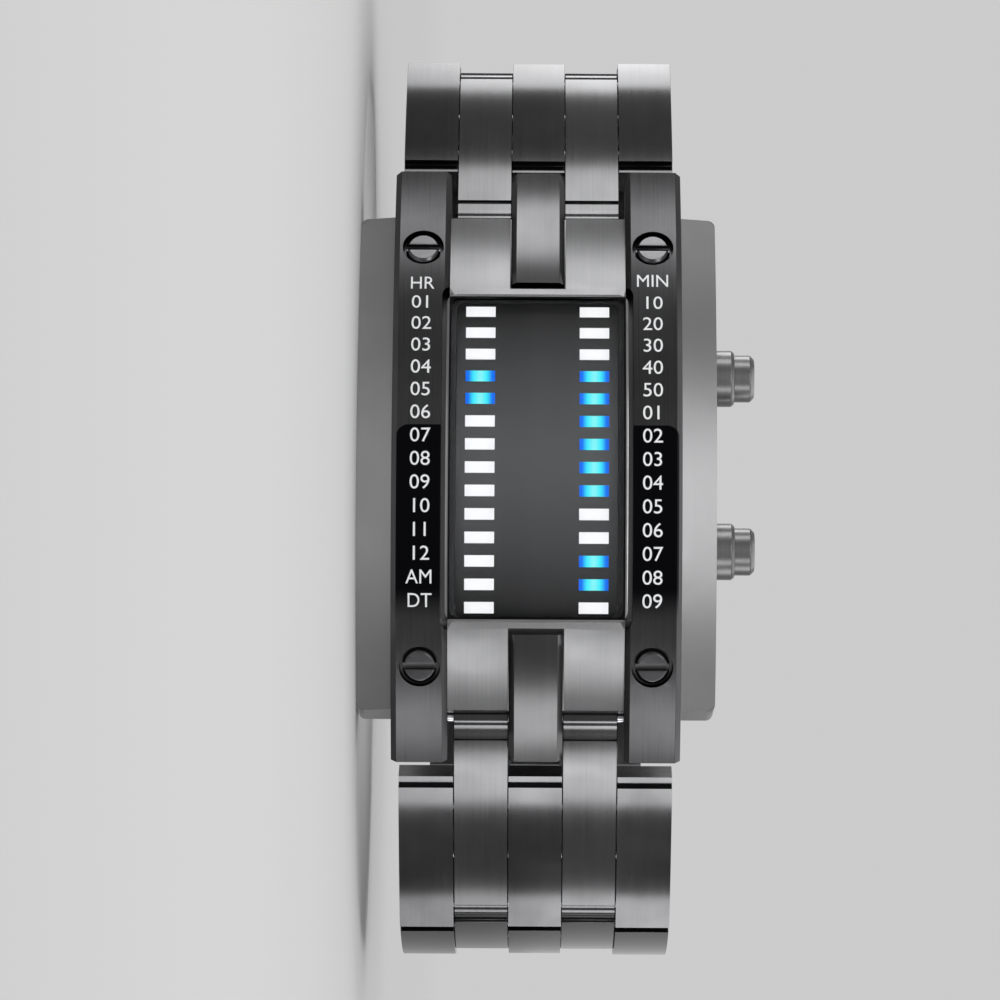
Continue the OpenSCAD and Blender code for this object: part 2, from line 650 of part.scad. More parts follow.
module lower_link_1_outer() link_outer(1, false);
module lower_link_1_inner() link_inner(1, false);
module lower_link_1_pins() link_pins(1, true);
module lower_link_2_outer() link_outer(2, false);
module lower_link_2_inner() link_inner(2, false);
module lower_link_2_pins() link_pins(2, true);
module lower_link_3_outer() link_outer(3, false);
module lower_link_3_inner() link_inner(3, false);
module lower_link_3_pins() link_pins(3, true);
module upper_link_1_outer() mirror([1, 0, 0]) link_outer(1, false);
module upper_link_1_inner() mirror([1, 0, 0]) link_inner(1, false);
module upper_link_1_pins() mirror([1, 0, 0]) link_pins(1, true);
module upper_link_2_outer() mirror([1, 0, 0]) link_outer(2, false);
module upper_link_2_inner() mirror([1, 0, 0]) link_inner(2, false);
module upper_link_2_pins() mirror([1, 0, 0]) link_pins(2, true);
module upper_link_3_outer() mirror([1, 0, 0]) link_outer(3, true);
module upper_link_3_inner() mirror([1, 0, 0]) link_inner(3, true);
module upper_link_3_pins() mirror([1, 0, 0]) link_pins(3, false);

// The clasp, drawn about its own axis with its outer side towards -Y and 12 o'clock at +X
outer_pin_lift = 0.35;
tube_r = 1;
module clasp_frame() {
  translate([0, clasp_y, mid_z]) rotate([0, 0, 180]) children();
}

module at_clasp(a, lift) {
  translate([(clasp_r + lift) * sin(a), -(clasp_r + lift) * cos(a), 0]) children();
}

cover_end = fold_angle + 1.6;
cover_start = -clasp_half + 2;
nose_end = cover_start + 1;
wall_start = cover_start + 1.2;
wall_t = 1.1;
wall_sink = 1.9;
hook_z = cover_half_w - wall_t;
button_angle = -3;
button_lift = -0.1;
flange_t = 0.5;
flange_r = 1.6;
post_t = 0.8;
post_z = hook_z - flange_t - button_travel - 1.3;

// Places children at a release button, with +Z pointing out of the clasp's side
module button_place(s) {
  clasp_frame() at_clasp(button_angle, button_lift) mirror([0, 0, s < 0 ? 1 : 0]) children();
}

module clasp_cover() color(steel) difference() {
  clasp_frame() {
    arc_bar(clasp_r + cover_in, clasp_r + cover_in + cover_t, -cover_half_w, cover_half_w, cover_start, cover_end, 0.5);
    for (z = [-cover_half_w, hook_z])
      arc_bar(clasp_r - wall_sink, clasp_r + cover_in + 0.5, z, z + wall_t, wall_start, cover_end - 0.2);
    // Seats of the button springs
    for (z = [-post_z, post_z - post_t])
      arc_bar(clasp_r - 1.3, clasp_r + cover_in + 0.5, z, z + post_t, button_angle - 1.2, button_angle + 1.2);
    // Noses that turn on the last pin of the lower strand
    for (z = [[-inner_to, -inner_from], [inner_from, inner_to]]) {
      at_clasp(-clasp_half, 0) translate([0, 0, z[0]]) cylinder(r = nose_r, h = z[1] - z[0]);
      arc_bar(clasp_r - nose_r + 0.15, clasp_r + nose_r - 0.15, z[0], z[1], -clasp_half, nose_end);
      arc_bar(clasp_r - nose_r + 0.15, clasp_r + cover_in + 0.5, z[0], z[1], cover_start, nose_end);
    }
  }
  clasp_frame() at_clasp(-clasp_half, 0) translate([0, 0, -case_w]) cylinder(d = pin_d + 2 * run_gap, h = 2 * case_w);
  clasp_frame() at_clasp(fold_angle, outer_pin_lift) translate([0, 0, -case_w]) cylinder(d = pin_d, h = 2 * case_w);
  for (s = [-1, 1]) button_place(s) translate([0, 0, hook_z - 0.2]) cylinder(d = button_d + 2 * run_gap, h = 2 * wall_t);
}

module cover_hinge_pin() color(bright_steel) clasp_frame() at_clasp(fold_angle, outer_pin_lift)
  translate([0, 0, -cover_half_w + 0.1]) cylinder(d = pin_d, h = 2 * cover_half_w - 0.2);

// Room for the release buttons at both edges of the blades
module button_notches() {
  for (z = [-case_w, post_z - post_t - 0.2])
    arc_bar(clasp_r - 3, clasp_r + 3, z, z + case_w - post_z + post_t + 0.2, button_angle - 2.4, button_angle + 2.4);
}

// The outer blade hangs on the cover's pin and holds the pin of the inner blade in its fork
fork_z = 6.2;
fork_span = 2.5;
module outer_blade() color(bright_steel) clasp_frame() difference() {
  union() {
    arc_bar(clasp_r - 0.1, clasp_r - 0.1 + blade_t, -blade_half_w, blade_half_w, -fold_angle + 1.5,
      fold_angle - 0.3);
    at_clasp(fold_angle, outer_pin_lift) translate([0, 0, -blade_half_w])
      cylinder(r = tube_r, h = 2 * blade_half_w);
    for (z = [-blade_half_w, fork_z]) {
      at_clasp(-fold_angle, -outer_pin_lift) translate([0, 0, z]) cylinder(r = tube_r, h = blade_half_w - fork_z);
      arc_bar(clasp_r - 0.1, clasp_r - 0.1 + blade_t, z, z + blade_half_w - fork_z, -fold_angle, -fold_angle + 2);
    }
  }
  at_clasp(fold_angle, outer_pin_lift) translate([0, 0, -case_w]) cylinder(d = pin_d + 2 * run_gap, h = 2 * case_w);
  at_clasp(-fold_angle, -outer_pin_lift) translate([0, 0, -case_w]) cylinder(d = pin_d, h = 2 * case_w);
  button_notches();
}

module blade_hinge_pin() color(bright_steel) clasp_frame() at_clasp(-fold_angle, -outer_pin_lift)
  translate([0, 0, -blade_half_w + 0.1]) cylinder(d = pin_d, h = 2 * blade_half_w - 0.2);

// The inner blade ends in two noses that carry the catch pin of the upper strand
inner_sink = 1.65;
module inner_blade() color(bright_steel) clasp_frame() difference() {
  union() {
    arc_bar(clasp_r - inner_sink, clasp_r - inner_sink + blade_t, -inner_to, inner_to,
      -fold_angle + fork_span, clasp_half - 1.5);
    arc_bar(clasp_r - inner_sink, clasp_r - inner_sink + blade_t, -fork_z + side_gap, fork_z - side_gap,
      -fold_angle + 0.4, -fold_angle + fork_span + 0.2);
    at_clasp(-fold_angle, -outer_pin_lift) translate([0, 0, -fork_z + side_gap])
      cylinder(r = tube_r, h = 2 * (fork_z - side_gap));
    for (z = [[-inner_to, -inner_from], [inner_from, inner_to]]) {
      at_clasp(clasp_half, 0) translate([0, 0, z[0]]) cylinder(r = nose_r, h = z[1] - z[0]);
      arc_bar(clasp_r - nose_r + 0.15, clasp_r - 0.3, z[0], z[1], clasp_half - 2, clasp_half);
    }
  }
  at_clasp(clasp_half, 0) translate([0, 0, -case_w]) cylinder(d = pin_d, h = 2 * case_w);
  at_clasp(-fold_angle, -outer_pin_lift) translate([0, 0, -case_w]) cylinder(d = pin_d + 2 * run_gap, h = 2 * case_w);
  button_notches();
}

module catch_pin() color(bright_steel) clasp_frame() at_clasp(clasp_half, 0)
  translate([0, 0, -outer_to + 0.2]) cylinder(d = pin_d, h = 2 * outer_to - 0.4);

// A release button: its flange stays behind the cover's side wall
module release_button(s) color(bright_steel) button_place(s) {
  translate([0, 0, hook_z - 0.02 - flange_t]) cylinder(r = flange_r, h = flange_t);
  translate([0, 0, hook_z - 0.1]) cylinder(d = button_d, h = wall_t + 1);
}

module left_release_button() release_button(-1);
module right_release_button() release_button(1);

module button_spring(s) color(bright_steel) button_place(s) difference() {
  translate([0, 0, post_z + 0.01]) cylinder(r = 0.9, h = hook_z - flange_t - post_z - 0.04);
  translate([0, 0, post_z - 1]) cylinder(r = 0.55, h = 5);
}

module left_button_spring() button_spring(-1);
module right_button_spring() button_spring(1);

case_body();
hour_rail();
minute_rail();
rail_screws();
upper_centre_strip();
lower_centre_strip();
display_bezel();
crystal();
crystal_gasket();
display_mask();
unlit_windows();
lit_windows();
circuit_board();
board_parts();
module_holder();
battery_cells();
battery_contact();
back_gasket();
case_back();
case_back_screws();
lug_pins();
pusher_tubes();
pusher_seals();
upper_pusher();
upper_pusher_clip();
upper_pusher_spring();
lower_pusher();
lower_pusher_clip();
lower_pusher_spring();
upper_link_1_outer();
upper_link_1_inner();
upper_link_1_pins();
upper_link_2_outer();
upper_link_2_inner();
upper_link_2_pins();
upper_link_3_outer();
upper_link_3_inner();
upper_link_3_pins();
lower_link_1_outer();
lower_link_1_inner();
lower_link_1_pins();
lower_link_2_outer();
lower_link_2_inner();
lower_link_2_pins();
lower_link_3_outer();
lower_link_3_inner();
lower_link_3_pins();
clasp_cover();
cover_hinge_pin();
outer_blade();
blade_hinge_pin();
inner_blade();
catch_pin();
left_release_button();
left_button_spring();
right_release_button();
right_button_spring();
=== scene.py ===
import json
import math

import bmesh
import bpy
import numpy as np
from mathutils import Matrix, Vector


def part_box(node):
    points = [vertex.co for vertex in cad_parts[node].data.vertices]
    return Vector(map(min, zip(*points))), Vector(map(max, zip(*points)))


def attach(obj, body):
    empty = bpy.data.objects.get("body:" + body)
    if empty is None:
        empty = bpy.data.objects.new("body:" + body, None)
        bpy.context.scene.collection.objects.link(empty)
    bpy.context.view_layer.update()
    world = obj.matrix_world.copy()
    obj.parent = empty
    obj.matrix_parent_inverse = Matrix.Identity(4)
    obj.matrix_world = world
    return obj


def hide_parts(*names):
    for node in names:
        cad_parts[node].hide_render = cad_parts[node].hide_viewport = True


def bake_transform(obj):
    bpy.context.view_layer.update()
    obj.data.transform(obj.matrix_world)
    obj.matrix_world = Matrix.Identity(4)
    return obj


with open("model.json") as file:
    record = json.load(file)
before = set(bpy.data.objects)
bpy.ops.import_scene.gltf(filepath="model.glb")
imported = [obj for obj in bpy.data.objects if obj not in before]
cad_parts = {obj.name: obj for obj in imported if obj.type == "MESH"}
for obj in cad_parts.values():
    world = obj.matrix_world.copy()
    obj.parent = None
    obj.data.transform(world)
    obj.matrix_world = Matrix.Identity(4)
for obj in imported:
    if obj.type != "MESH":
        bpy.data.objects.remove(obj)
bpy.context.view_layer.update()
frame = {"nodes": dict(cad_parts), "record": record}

MM = 0.001

# Main sizes of the watch, read from its parts
NODES = frame["nodes"]
CASE_LOW, CASE_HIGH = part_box("case_body")
RAIL_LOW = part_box("hour_rail")[0]
GLASS_LOW, GLASS_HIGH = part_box("crystal")
BEZEL_LOW, BEZEL_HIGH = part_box("display_bezel")
MID_Z = (CASE_LOW.z + CASE_HIGH.z) / 2
FACE_Y = RAIL_LOW.y

# Sizes that the source gives and no box shows: the rails' round, and each column of lights from the middle
CASE_RADIUS = 50.0 * MM
CASE_AXIS_Y = FACE_Y + CASE_RADIUS
LIGHT_OFF = 5.4 * MM


# Shaders

def shader(name):
    """An empty material with its tree, its surface shader and its object coordinates."""
    material = bpy.data.materials.new(name)
    material.use_nodes = True
    tree = material.node_tree
    surface = tree.nodes["Principled BSDF"]
    place = tree.nodes.new("ShaderNodeTexCoord").outputs["Object"]
    return material, tree, surface, place


def add(tree, kind, settings=None, **inputs):
    """A node of the given kind with its settings and its inputs, as values or links: i0 is the first input, and
    other names are the inputs' own, with _ for a space."""
    made = tree.nodes.new(kind)
    for key, value in (settings or {}).items():
        setattr(made, key, value)
    for key, value in inputs.items():
        by_number = key[0] == "i" and key[1:].isdigit()
        socket = made.inputs[int(key[1:]) if by_number else key.replace("_", " ")]
        if isinstance(value, bpy.types.NodeSocket):
            tree.links.new(value, socket)
        else:
            socket.default_value = value
    return made


def sums(tree, operation, first, second=0.0, third=0.0, clamp=False):
    """One arithmetic step on numbers or sockets."""
    made = add(tree, "ShaderNodeMath", {"operation": operation, "use_clamp": clamp}, i0=first, i1=second, i2=third)
    return made.outputs[0]


def axis_of(tree, place, axis):
    """One coordinate of the object's own space, in metres."""
    return add(tree, "ShaderNodeSeparateXYZ", i0=place).outputs[axis]


def ramp_between(tree, value, low, high, smooth=True):
    """Rises from 0 at low to 1 at high, with soft ends if smooth."""
    settings = {"interpolation_type": "SMOOTHSTEP" if smooth else "LINEAR", "clamp": True}
    made = add(tree, "ShaderNodeMapRange", settings, Value=value, From_Min=low, From_Max=high)
    return made.outputs["Result"]


def stretched_noise(tree, place, scale, stretch, detail=3.0):
    """Noise whose cells are drawn out along the axes with the small factors."""
    moved = add(tree, "ShaderNodeMapping", Vector=place, Scale=stretch)
    noise = add(tree, "ShaderNodeTexNoise", Vector=moved.outputs[0], Scale=scale, Detail=detail, Roughness=0.6)
    return noise.outputs["Fac"]


def mixed(tree, share, first, second):
    """Colour that goes from first to second as share goes from 0 to 1."""
    made = add(tree, "ShaderNodeMix", {"data_type": "RGBA"}, Factor=share)
    for socket, value in ((made.inputs[6], first), (made.inputs[7], second)):
        if isinstance(value, bpy.types.NodeSocket):
            tree.links.new(value, socket)
        else:
            socket.default_value = (*value, 1.0)
    return made.outputs[2]


def grain(tree, surface, height, distance):
    """Fine relief of the surface from a height field."""
    bump = add(tree, "ShaderNodeBump", Height=height, Distance=distance, Strength=0.35)
    tree.links.new(bump.outputs[0], surface.inputs["Normal"])


# How far noise is drawn out along X, Y and Z: brushing lines run round the watch, and round a turned part
ALONG = (0.012, 0.012, 1.0)
TURNED = (0.03, 0.03, 1.0)
EVEN = (1.0, 1.0, 1.0)

LINE_SCALE = 6000.0
LINE_SHARE = 0.3
LINE_RELIEF = 0.0004 * MM
LINE_ROUGHNESS = 0.05
PLATING_CLOUDS = 90.0
WORN_EDGE = (0.53, 0.62)
WORN_WHERE = (0.3, 0.65)
WORN_SHARE = 0.08


def plating(name, dark, light, roughness, lines_run=ALONG):
    """Dark plated steel with its parts, for finishes built on it: brushing lines, soft clouds in the plating and
    slightly paler sharp edges."""
    material, tree, surface, place = shader(name)
    lines = stretched_noise(tree, place, LINE_SCALE, lines_run)
    clouds = stretched_noise(tree, place, PLATING_CLOUDS, EVEN)
    share = sums(tree, "MULTIPLY_ADD", lines, LINE_SHARE, sums(tree, "MULTIPLY", clouds, 1.0 - LINE_SHARE))
    tone = mixed(tree, ramp_between(tree, share, 0.2, 0.8), dark, light)
    point = add(tree, "ShaderNodeNewGeometry").outputs["Pointiness"]
    edge = sums(tree, "MULTIPLY", ramp_between(tree, point, *WORN_EDGE), WORN_SHARE)
    edge = sums(tree, "MULTIPLY", edge, ramp_between(tree, clouds, *WORN_WHERE))
    tone = mixed(tree, edge, tone, tuple(min(1.0, 2.0 * c + 0.1) for c in light))
    tree.links.new(tone, surface.inputs["Base Color"])
    rough = sums(tree, "MULTIPLY_ADD", lines, LINE_ROUGHNESS, roughness - LINE_ROUGHNESS / 2)
    tree.links.new(rough, surface.inputs["Roughness"])
    surface.inputs["Metallic"].default_value = 1.0
    grain(tree, surface, lines, LINE_RELIEF)
    return material, tree, surface, place, tone


def plated_steel(*finish):
    """Dark plated steel as it comes from the plating."""
    return plating(*finish)[0]


STAIN_SCALE = 160.0
STAINS_FROM = (0.35, 0.75)


def stained(tree, place, colour, stain):
    """Colour with small stains of another tone."""
    stains = stretched_noise(tree, place, STAIN_SCALE, EVEN)
    return mixed(tree, ramp_between(tree, stains, *STAINS_FROM), colour, stain)


def polished_steel(name, colour, roughness):
    """Polished steel with faint wiping marks and small stains."""
    material, tree, surface, place = shader(name)
    marks = stretched_noise(tree, place, 1500.0, (1.0, 0.2, 1.0), 5.0)
    tree.links.new(stained(tree, place, colour, tuple(0.82 * c for c in colour)), surface.inputs["Base Color"])
    rough = sums(tree, "MULTIPLY_ADD", marks, 0.1, roughness - 0.05)
    tree.links.new(rough, surface.inputs["Roughness"])
    surface.inputs["Metallic"].default_value = 1.0
    return material


def moulded(name, colour, roughness, clouds_scale=700.0, change=0.3):
    """Moulded plastic, rubber or lacquer with a fine uneven surface."""
    material, tree, surface, place = shader(name)
    clouds = stretched_noise(tree, place, clouds_scale, EVEN, 4.0)
    dark = tuple(c * (1.0 - change) for c in colour)
    light = tuple(min(1.0, c * (1.0 + change)) for c in colour)
    tree.links.new(mixed(tree, clouds, dark, light), surface.inputs["Base Color"])
    surface.inputs["Roughness"].default_value = roughness
    grain(tree, surface, clouds, 0.01 * MM)
    return material


# The case's side wings, from their distance from its middle: their painted sheen's tone, its share, and the added
# roughness
WING_FROM = (13.0 * MM, 13.6 * MM)
WING_SHEEN_TONE = (0.23, 0.23, 0.233)
WING_SHEEN_SHARE = 0.55
WING_SATIN = 0.15
CASE_ROUGHNESS = 0.30


def case_steel(name, dark, light):
    """The case's plating, more satin on both side wings outside the rails, where a painted sheen also makes it
    paler.
    """
    material, tree, surface, place, tone = plating(name, dark, light, CASE_ROUGHNESS)
    off = sums(tree, "ABSOLUTE", sums(tree, "SUBTRACT", axis_of(tree, place, 2), MID_Z))
    wing = sums(tree, "MULTIPLY", ramp_between(tree, off, *WING_FROM), WING_SHEEN_SHARE)
    # Painted sheen: the wings' colour is turned paler.
    tree.links.new(mixed(tree, wing, tone, WING_SHEEN_TONE), surface.inputs["Base Color"])
    tree.links.new(sums(tree, "MULTIPLY_ADD", wing, WING_SATIN, CASE_ROUGHNESS), surface.inputs["Roughness"])
    return material


# Bounds of the painted black reflection beside the display on both rails: its upper end, its fade towards
# 6 o'clock, its two sides, its upper corner's radius, and how soft its outline is
REFLECTION_TOP = -2.2 * MM
REFLECTION_FADE = (13.0 * MM, 16.5 * MM)
REFLECTION_NEAR = {"hour_rail": (RAIL_LOW.z + 0.45 * MM, MID_Z - 8.9 * MM),
              "minute_rail": (MID_Z + 8.6 * MM, 2 * MID_Z - RAIL_LOW.z - 0.3 * MM)}
REFLECTION_CORNER = 1.2 * MM
REFLECTION_EDGE = 0.05 * MM
REFLECTION_BLACK = (0.004, 0.004, 0.005)


def rail_steel(name, node):
    """Rail plating with a painted black reflection that starts at a rounded corner and fades towards 6 o'clock."""
    # These plating tones are darker than the case's: painted shade for the rails' dark middle.
    material, tree, surface, place, tone = plating(name, (0.032, 0.032, 0.033), (0.058, 0.058, 0.06), 0.28)
    low, high = REFLECTION_NEAR[node]
    along = axis_of(tree, place, 0)
    across = axis_of(tree, place, 2)
    outer = low if node == "hour_rail" else high
    inward = 1.0 if node == "hour_rail" else -1.0
    from_corner_z = sums(tree, "MULTIPLY", sums(tree, "SUBTRACT", outer + inward * REFLECTION_CORNER, across), inward)
    from_corner_x = sums(tree, "SUBTRACT", REFLECTION_TOP + REFLECTION_CORNER, along)
    out_z = sums(tree, "MAXIMUM", from_corner_z, 0.0)
    out_x = sums(tree, "MAXIMUM", from_corner_x, 0.0)
    squares = sums(tree, "MULTIPLY_ADD", out_z, out_z, sums(tree, "MULTIPLY", out_x, out_x))
    reach = sums(tree, "SQRT", squares)
    inside = sums(tree, "SUBTRACT", 1.0, ramp_between(tree, reach, REFLECTION_CORNER, REFLECTION_CORNER + REFLECTION_EDGE, False))
    kept = ramp_between(tree, across, low, low + REFLECTION_EDGE, False)
    kept = sums(tree, "MULTIPLY", kept, ramp_between(tree, across, high, high - REFLECTION_EDGE, False))
    fade = sums(tree, "SUBTRACT", 1.0, ramp_between(tree, along, *REFLECTION_FADE))
    # Painted reflection: where this is 1, the plating's colour turns to near black.
    painted_reflection = sums(tree, "MULTIPLY", sums(tree, "MULTIPLY", inside, kept), fade)
    tree.links.new(mixed(tree, painted_reflection, tone, REFLECTION_BLACK), surface.inputs["Base Color"])
    return material


# Inset from the bezel's outline over which its rim line turns into its black lip
BEZEL_LINE = (0.20 * MM, 0.26 * MM)
LIP_BLACK = (0.006, 0.006, 0.006)


def bezel_finish(name):
    """Polished rim line round the display with a black inner lip."""
    material, tree, surface, place = shader(name)
    tone = stained(tree, place, (0.26, 0.26, 0.265), (0.20, 0.20, 0.204))
    inset = []
    for axis, low, high in ((0, BEZEL_LOW.x, BEZEL_HIGH.x), (2, BEZEL_LOW.z, BEZEL_HIGH.z)):
        off = sums(tree, "ABSOLUTE", sums(tree, "SUBTRACT", axis_of(tree, place, axis), (low + high) / 2))
        inset.append(sums(tree, "SUBTRACT", (high - low) / 2, off))
    lip = ramp_between(tree, sums(tree, "MINIMUM", *inset), *BEZEL_LINE)
    tree.links.new(mixed(tree, lip, tone, LIP_BLACK), surface.inputs["Base Color"])
    surface.inputs["Metallic"].default_value = 1.0
    tree.links.new(sums(tree, "MULTIPLY_ADD", lip, 0.3, 0.22), surface.inputs["Roughness"])
    return material


# The mask's tone in the display's middle and at both ends; its fall towards the ends is painted shade.
MASK_MIDDLE = (0.115, 0.115, 0.117)
MASK_ENDS = (0.002, 0.002, 0.002)


def display_black(name):
    """Matte black mask, paler in the middle of the display and darker towards both ends: painted shade."""
    material, tree, surface, place = shader(name)
    along = axis_of(tree, place, 0)
    middle = (GLASS_LOW.x + GLASS_HIGH.x) / 2
    off = sums(tree, "ABSOLUTE", sums(tree, "SUBTRACT", along, middle))
    far = sums(tree, "DIVIDE", off, GLASS_HIGH.x - middle)
    share = sums(tree, "POWER", far, 1.5, clamp=True)
    clouds = stretched_noise(tree, place, 900.0, EVEN)
    tone = mixed(tree, share, MASK_MIDDLE, MASK_ENDS)
    tone = mixed(tree, sums(tree, "MULTIPLY", clouds, 0.08), tone, (0.03, 0.03, 0.03))
    tree.links.new(tone, surface.inputs["Base Color"])
    surface.inputs["Roughness"].default_value = 0.6
    surface.inputs["Specular IOR Level"].default_value = 0.15
    return material


# Distances from a window's middle over which its first tone turns into the second, and that into its ends
WINDOW_MIDDLE = (0.0, 0.65 * MM)
WINDOW_ENDS = (0.5 * MM, 1.25 * MM)


def light_window(name, middle, between, ends, strength):
    """A lit or unlit window: its colour goes from the middle to both ends of the mark."""
    material, tree, surface, place = shader(name)
    across = axis_of(tree, place, 2)
    off = sums(tree, "ABSOLUTE", sums(tree, "SUBTRACT", across, MID_Z))
    from_middle = sums(tree, "ABSOLUTE", sums(tree, "SUBTRACT", off, LIGHT_OFF))
    grainy = stretched_noise(tree, place, 4000.0, EVEN)
    share = sums(tree, "MULTIPLY_ADD", grainy, 0.06, ramp_between(tree, from_middle, *WINDOW_ENDS))
    tone = mixed(tree, ramp_between(tree, from_middle, *WINDOW_MIDDLE), middle, between)
    tone = mixed(tree, share, tone, ends)
    tree.links.new(mixed(tree, 0.85, tone, (0.0, 0.0, 0.0)), surface.inputs["Base Color"])
    tree.links.new(tone, surface.inputs["Emission Color"])
    surface.inputs["Emission Strength"].default_value = strength
    surface.inputs["Roughness"].default_value = 0.5
    surface.inputs["Specular IOR Level"].default_value = 0.1
    return material


def tinted_crystal(name):
    """Clear dark mineral glass with a faint haze at its surface."""
    material, tree, surface, place = shader(name)
    haze = stretched_noise(tree, place, 300.0, EVEN)
    tone = mixed(tree, haze, (0.86, 0.87, 0.88), (0.92, 0.93, 0.94))
    tree.links.new(tone, surface.inputs["Base Color"])
    surface.inputs["Roughness"].default_value = 0.02
    surface.inputs["IOR"].default_value = 1.25
    surface.inputs["Specular IOR Level"].default_value = 0.2
    surface.inputs["Transmission Weight"].default_value = 1.0
    return material


CASE_STEEL = case_steel("case_steel", (0.095, 0.095, 0.097), (0.14, 0.14, 0.143))
STRIP_STEEL = plated_steel("strip_steel", (0.05, 0.05, 0.051), (0.08, 0.08, 0.082), 0.20)
OUTER_STEEL = plated_steel("outer_link_steel", (0.04, 0.04, 0.041), (0.062, 0.062, 0.064), 0.13)
INNER_STEEL = plated_steel("inner_link_steel", (0.05, 0.05, 0.051), (0.08, 0.08, 0.082), 0.16)
BACK_STEEL = plated_steel("back_steel", (0.16, 0.16, 0.165), (0.26, 0.26, 0.27), 0.34)
CLASP_STEEL = plated_steel("clasp_steel", (0.085, 0.085, 0.087), (0.14, 0.14, 0.143), 0.30)
BLADE_STEEL = plated_steel("blade_steel", (0.26, 0.26, 0.27), (0.40, 0.40, 0.41), 0.30)
PUSHER_STEEL = plated_steel("pusher_steel", (0.10, 0.10, 0.101), (0.16, 0.16, 0.162), 0.36, TURNED)
HOUR_RAIL_STEEL = rail_steel("hour_rail_steel", "hour_rail")
MINUTE_RAIL_STEEL = rail_steel("minute_rail_steel", "minute_rail")
BEZEL_FINISH = bezel_finish("bezel_steel")
BRIGHT_STEEL = polished_steel("bright_steel", (0.11, 0.11, 0.113), 0.18)
SCREW_STEEL = polished_steel("screw_steel", (0.075, 0.075, 0.078), 0.22)
PIN_STEEL = polished_steel("pin_steel", (0.5, 0.5, 0.52), 0.3)
CELL_STEEL = polished_steel("cell_steel", (0.62, 0.63, 0.64), 0.28)
BRASS = polished_steel("contact_brass", (0.72, 0.56, 0.28), 0.28)
CRYSTAL = tinted_crystal("dark_crystal")
MASK = display_black("display_mask_black")
WHITE_WINDOW = light_window("white_window", (1.0, 1.0, 1.0), (1.0, 1.0, 1.0), (0.96, 0.96, 0.97), 0.99)
BLUE_WINDOW = light_window("blue_window", (0.25, 0.97, 0.96), (0.05, 0.90, 1.0), (0.0, 0.15, 0.88), 0.97)
PRINT = moulded("print_white", (0.70, 0.71, 0.72), 0.5, 2500.0, 0.08)
RUBBER = moulded("seal_rubber", (0.03, 0.03, 0.032), 0.75)
BOARD = moulded("board_green", (0.03, 0.17, 0.085), 0.4)
CHIP = moulded("component_black", (0.03, 0.03, 0.033), 0.5)
HOLDER = moulded("holder_plastic", (0.62, 0.62, 0.58), 0.5)

# The finish of each of the record's slots, and the nodes that have one of their own
FINISH = {
    "dark_case_steel": CASE_STEEL, "rail_steel": HOUR_RAIL_STEEL, "outer_link_steel": OUTER_STEEL,
    "inner_link_steel": INNER_STEEL, "brushed_back_steel": BACK_STEEL, "polished_steel": BRIGHT_STEEL,
    "pin_steel": PIN_STEEL, "blade_steel": BLADE_STEEL, "dark_crystal": CRYSTAL, "seal_rubber": RUBBER,
    "display_mask": MASK, "white_window": WHITE_WINDOW, "blue_window": BLUE_WINDOW, "board_green": BOARD,
    "component_black": CHIP, "holder_plastic": HOLDER, "cell_steel": CELL_STEEL, "contact_brass": BRASS,
}
SLOT_OF = {s["node"]: s["material_slot"] for s in frame["record"]["subparts"]}
BODIES = frame["record"]["behaviour"]["bodies"]
BODY_OF = {node: body for body, nodes in BODIES.items() for node in nodes}
OWN_FINISH = {
    "minute_rail": MINUTE_RAIL_STEEL, "upper_centre_strip": STRIP_STEEL, "lower_centre_strip": STRIP_STEEL,
    "display_bezel": BEZEL_FINISH, "rail_screws": SCREW_STEEL, "pusher_tubes": PUSHER_STEEL,
    "upper_pusher": PUSHER_STEEL, "lower_pusher": PUSHER_STEEL, "clasp_cover": CLASP_STEEL,
    "left_release_button": CLASP_STEEL, "right_release_button": CLASP_STEEL,
}

for node, part in NODES.items():
    part.data.materials.clear()
    part.data.materials.append(OWN_FINISH.get(node, FINISH[SLOT_OF[node]]))


# Pieces

# Angles in degrees between two faces: those that lie in one plane, those whose edge is eased, those whose shading
# stays apart, and those of a rail's front against its round
FLAT_ANGLE = 0.3
EASE_ANGLE = 28.0
SHARP_ANGLE = 50.0
ROUND_ANGLE = 8.0

# Radius of the eased edges in millimetres
EASED = {
    "case_body": 0.2, "hour_rail": 0.14, "minute_rail": 0.14, "upper_centre_strip": 0.12, "lower_centre_strip": 0.12,
    "display_bezel": 0.08, "pusher_tubes": 0.06, "upper_pusher": 0.08, "lower_pusher": 0.08, "rail_screws": 0.05,
    "clasp_cover": 0.15, "outer_blade": 0.08, "inner_blade": 0.08, "case_back": 0.1,
    "left_release_button": 0.1, "right_release_button": 0.1,
}
for strand in ("upper", "lower"):
    for k in (1, 2, 3):
        EASED[f"{strand}_link_{k}_outer"] = 0.3
        EASED[f"{strand}_link_{k}_inner"] = 0.3


def linked(name, data):
    """A new object in the scene with the given mesh, letters, lamp or camera."""
    made = bpy.data.objects.new(name, data)
    bpy.context.scene.collection.objects.link(made)
    return made


def shaped_mesh(piece):
    """The piece's mesh as its modifiers leave it."""
    return bpy.data.meshes.new_from_object(piece.evaluated_get(bpy.context.evaluated_depsgraph_get()))


def stands_for(node):
    """The piece takes the part's place: the part is hidden."""
    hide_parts(node)


